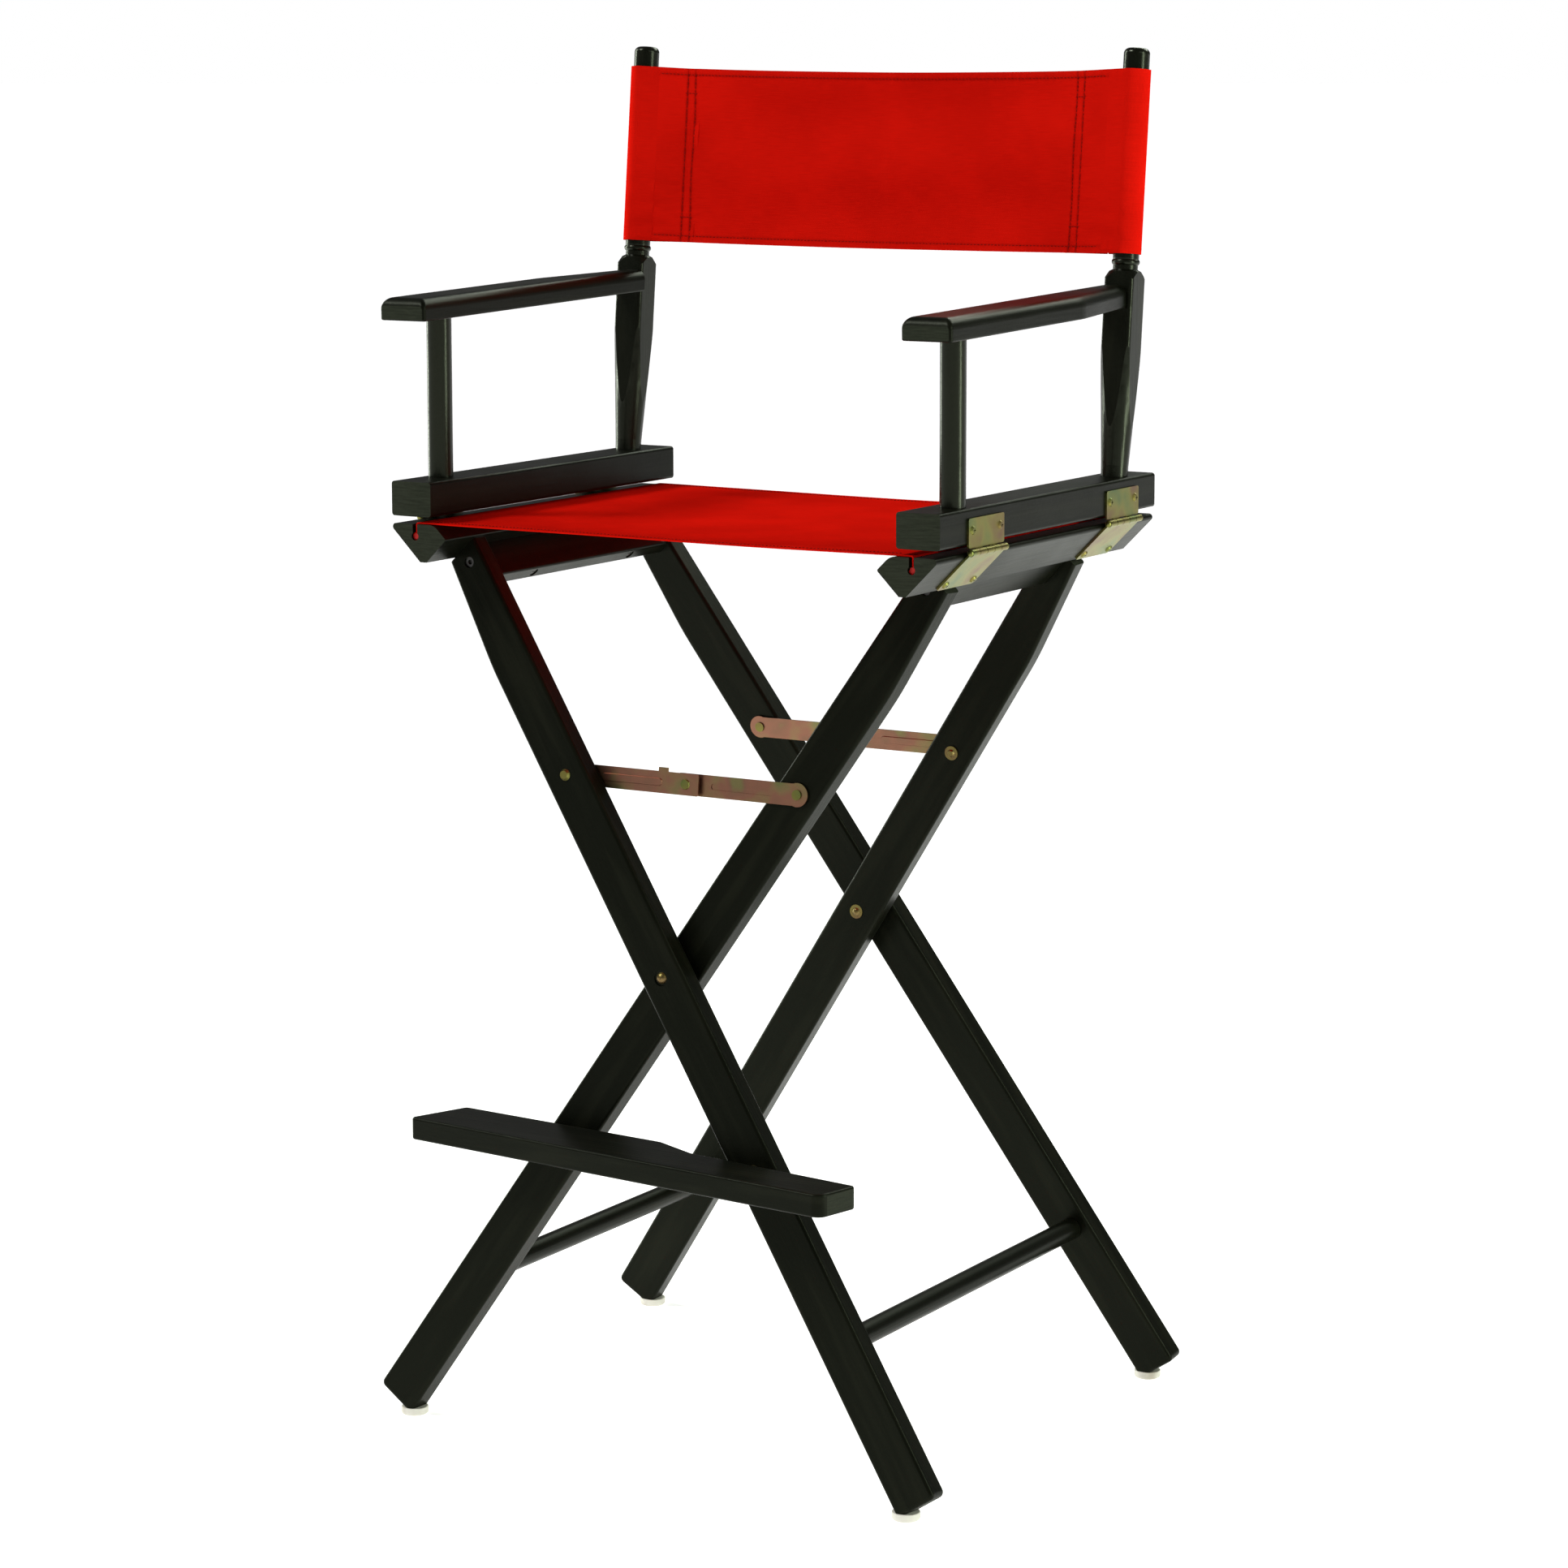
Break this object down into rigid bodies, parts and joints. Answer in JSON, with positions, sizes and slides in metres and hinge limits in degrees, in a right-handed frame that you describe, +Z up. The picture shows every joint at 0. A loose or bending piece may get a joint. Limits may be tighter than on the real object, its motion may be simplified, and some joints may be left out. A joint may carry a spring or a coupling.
{
  "type": "director chair",
  "caption": "Tall folding director chair: crossed wooden leg frames, hinged arms, canvas seat and back sling, slanting footrest board.",
  "frame": {"origin": "on the floor, in the middle of the whole chair", "axes": "+Z up; +Y to the back of the chair, -Y to its front; +X to the right as seen from the front"},
  "size_m": [0.5522, 0.4961, 1.155],
  "materials": {
    "black_wood": "satin black paint over wood",
    "red_canvas": "plain-weave cotton canvas",
    "zinc_steel": "yellow zinc plated steel",
    "white_nylon": "moulded nylon",
    "rod_plastic": "extruded plastic"
  },
  "bodies": {
    "outer_frame": {"outer_leg_front": "black_wood", "outer_leg_rear": "black_wood", "seat_rail_left": "black_wood", "under_board_left": "black_wood", "board_screws_left": "zinc_steel", "leg_bolts_left": "zinc_steel", "stretcher_right": "black_wood", "glides_right": "white_nylon", "crossing_bolts": "zinc_steel", "crossing_spacers": "zinc_steel", "brace_rivets_left": "zinc_steel", "seat_rod_left": "rod_plastic", "lower_leaves_left": "zinc_steel", "lower_screws_left": "zinc_steel", "footrest_bolt": "zinc_steel", "seat_canvas": "red_canvas"},
    "inner_frame": {"inner_leg_front": "black_wood", "inner_leg_rear": "black_wood", "seat_rail_right": "black_wood", "under_board_right": "black_wood", "board_screws_right": "zinc_steel", "leg_bolts_right": "zinc_steel", "stretcher_left": "black_wood", "glides_left": "white_nylon", "brace_rivets_right": "zinc_steel", "seat_rod_right": "rod_plastic", "lower_leaves_right": "zinc_steel", "lower_screws_right": "zinc_steel", "rest_pin": "zinc_steel"},
    "left_arm": {"arm_rail_left": "black_wood", "front_post_left": "black_wood", "rear_post_left": "black_wood", "armrest_left": "black_wood", "upper_leaves_left": "zinc_steel", "hinge_pins_left": "zinc_steel", "upper_screws_left": "zinc_steel", "back_canvas": "red_canvas"},
    "right_arm": {"arm_rail_right": "black_wood", "front_post_right": "black_wood", "rear_post_right": "black_wood", "armrest_right": "black_wood", "upper_leaves_right": "zinc_steel", "hinge_pins_right": "zinc_steel", "upper_screws_right": "zinc_steel"},
    "brace_left_front": {"brace_link_left_front": "zinc_steel", "middle_rivet_front": "zinc_steel"},
    "brace_left_rear": {"brace_link_left_rear": "zinc_steel", "middle_rivet_rear": "zinc_steel"},
    "brace_right_front": {"brace_link_right_front": "zinc_steel"},
    "brace_right_rear": {"brace_link_right_rear": "zinc_steel"},
    "footrest": {"footrest_board": "black_wood"}
  },
  "joints": [
    {"name": "fold", "type": "hinge", "parent": "outer_frame", "child": "inner_frame", "pos_m": [0, 0.019, 0.4047], "axis": [0, -1, 0], "range_deg": [0, 59], "deforming": ["seat_canvas", "back_canvas"]},
    {"name": "left_arm_hinge", "type": "hinge", "parent": "outer_frame", "child": "left_arm", "pos_m": [-0.2626, 0.019, 0.7645], "axis": [0, -1, 0], "range_deg": [-0.5, 30]},
    {"name": "right_arm_hinge", "type": "hinge", "parent": "inner_frame", "child": "right_arm", "pos_m": [0.2626, 0.019, 0.7645], "axis": [0, 1, 0], "range_deg": [-0.5, 30]},
    {"name": "footrest_pivot", "type": "hinge", "parent": "outer_frame", "child": "footrest", "pos_m": [0.09785, -0.191, 0.259], "axis": [0, -1, 0], "range_deg": [-0.5, 30]},
    {"name": "brace_left_front_pivot", "type": "hinge", "parent": "outer_frame", "child": "brace_left_front", "pos_m": [-0.1035, -0.12431, 0.559], "axis": [0, 0.9941, -0.1084], "range_deg": [-0.4, 53]},
    {"name": "brace_left_rear_pivot", "type": "hinge", "parent": "outer_frame", "child": "brace_left_rear", "pos_m": [-0.1035, 0.16231, 0.559], "axis": [0, 0.9941, 0.1084], "range_deg": [-0.4, 53]},
    {"name": "brace_right_front_pivot", "type": "hinge", "parent": "inner_frame", "child": "brace_right_front", "pos_m": [0.1035, -0.12431, 0.559], "axis": [0, -0.9941, 0.1084], "range_deg": [-0.4, 53]},
    {"name": "brace_right_rear_pivot", "type": "hinge", "parent": "inner_frame", "child": "brace_right_rear", "pos_m": [0.1035, 0.16231, 0.559], "axis": [0, -0.9941, -0.1084], "range_deg": [-0.4, 53]}
  ],
  "couplings": [
    {"joint": "left_arm_hinge", "follows": "fold", "ratio": 0.5},
    {"joint": "right_arm_hinge", "follows": "fold", "ratio": 0.5},
    {"joint": "footrest_pivot", "follows": "fold", "ratio": 0.5},
    {"joint": "brace_left_front_pivot", "follows": "fold", "ratio": 0.8915},
    {"joint": "brace_left_rear_pivot", "follows": "fold", "ratio": 0.8915},
    {"joint": "brace_right_front_pivot", "follows": "fold", "ratio": 0.8915},
    {"joint": "brace_right_rear_pivot", "follows": "fold", "ratio": 0.8915}
  ]
}
